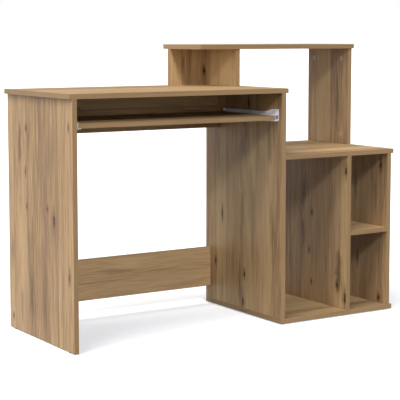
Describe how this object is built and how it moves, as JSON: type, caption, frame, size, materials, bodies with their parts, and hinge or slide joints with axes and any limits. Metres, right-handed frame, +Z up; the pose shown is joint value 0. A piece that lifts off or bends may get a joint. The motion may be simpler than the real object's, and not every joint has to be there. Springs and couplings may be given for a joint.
{
  "type": "computer desk with keyboard tray",
  "caption": "Oak-finish flat-pack computer desk with pull-out keyboard tray on roller runners, open side cabinet with a small shelf, and raised monitor shelf.",
  "frame": {"origin": "middle of the bounding box's bottom face, on the floor", "axes": "+X to the user's right along the width, +Y to the back, +Z up"},
  "size_m": [1.2, 0.442, 0.885],
  "materials": {
    "oak_board": "satin knotty oak print on melamine-faced board",
    "white_epoxy_steel": "white epoxy powder coat",
    "violet_nylon": "moulded nylon",
    "zinc_steel": "bright zinc plated",
    "zinc_casting": "as-cast zinc",
    "cap_foil": "oak-coloured self-adhesive foil",
    "beech": "fluted beech",
    "glide_plastic": "moulded"
  },
  "bodies": {
    "desk": {"back_apron": "oak_board", "cabinet_base": "oak_board", "cabinet_cam_bolts": "zinc_steel", "cabinet_cam_caps": "cap_foil", "cabinet_cam_locks": "zinc_casting", "cabinet_connector_screws": "zinc_steel", "cabinet_divider": "oak_board", "cabinet_dowels": "beech", "cabinet_right_side": "oak_board", "cabinet_top": "oak_board", "centre_side_panel": "oak_board", "desk_cam_bolts": "zinc_steel", "desk_cam_caps": "cap_foil", "desk_cam_locks": "zinc_casting", "desk_dowels": "beech", "desk_top": "oak_board", "front_roller_rivets": "zinc_steel", "glide_nails": "zinc_steel", "glide_pads": "glide_plastic", "hutch_back_board": "oak_board", "hutch_cam_bolts": "zinc_steel", "hutch_cam_caps": "cap_foil", "hutch_cam_locks": "zinc_casting", "hutch_connector_screws": "zinc_steel", "hutch_dowels": "beech", "hutch_left_support": "oak_board", "hutch_right_side": "oak_board", "hutch_top": "oak_board", "left_runner_cabinet_member": "white_epoxy_steel", "left_side_panel": "oak_board", "lower_stretcher": "oak_board", "right_runner_cabinet_member": "white_epoxy_steel", "runner_screws": "zinc_steel", "shelf_pins": "zinc_steel", "small_shelf": "oak_board"},
    "tray": {"keyboard_tray": "oak_board", "left_runner_tray_member": "white_epoxy_steel", "right_runner_tray_member": "white_epoxy_steel", "rear_roller_rivets": "zinc_steel", "tray_screws": "zinc_steel"},
    "left_front_roller": {"left_front_roller": "violet_nylon"},
    "left_rear_roller": {"left_rear_roller": "violet_nylon"},
    "right_front_roller": {"right_front_roller": "violet_nylon"},
    "right_rear_roller": {"right_rear_roller": "violet_nylon"}
  },
  "joints": [
    {"name": "tray_slide", "type": "slide", "parent": "desk", "child": "tray", "axis": [0, -1, 0], "range_m": [0, 0.22]},
    {"name": "left_front_roller_spin", "type": "hinge", "parent": "desk", "child": "left_front_roller", "pos_m": [-0.5711, -0.189, 0.658], "axis": [1, 0, 0], "range_deg": [0, 1580]},
    {"name": "left_rear_roller_spin", "type": "hinge", "parent": "tray", "child": "left_rear_roller", "pos_m": [-0.5684, 0.085, 0.6545], "axis": [1, 0, 0], "range_deg": [0, 1580]},
    {"name": "right_front_roller_spin", "type": "hinge", "parent": "desk", "child": "right_front_roller", "pos_m": [0.1371, -0.189, 0.658], "axis": [1, 0, 0], "range_deg": [0, 1580]},
    {"name": "right_rear_roller_spin", "type": "hinge", "parent": "tray", "child": "right_rear_roller", "pos_m": [0.1344, 0.085, 0.6545], "axis": [1, 0, 0], "range_deg": [0, 1580]}
  ],
  "couplings": [
    {"joint": "left_front_roller_spin", "follows": "tray_slide", "rad_per_m": 125},
    {"joint": "left_rear_roller_spin", "follows": "tray_slide", "rad_per_m": 125},
    {"joint": "right_front_roller_spin", "follows": "tray_slide", "rad_per_m": 125},
    {"joint": "right_rear_roller_spin", "follows": "tray_slide", "rad_per_m": 125}
  ]
}
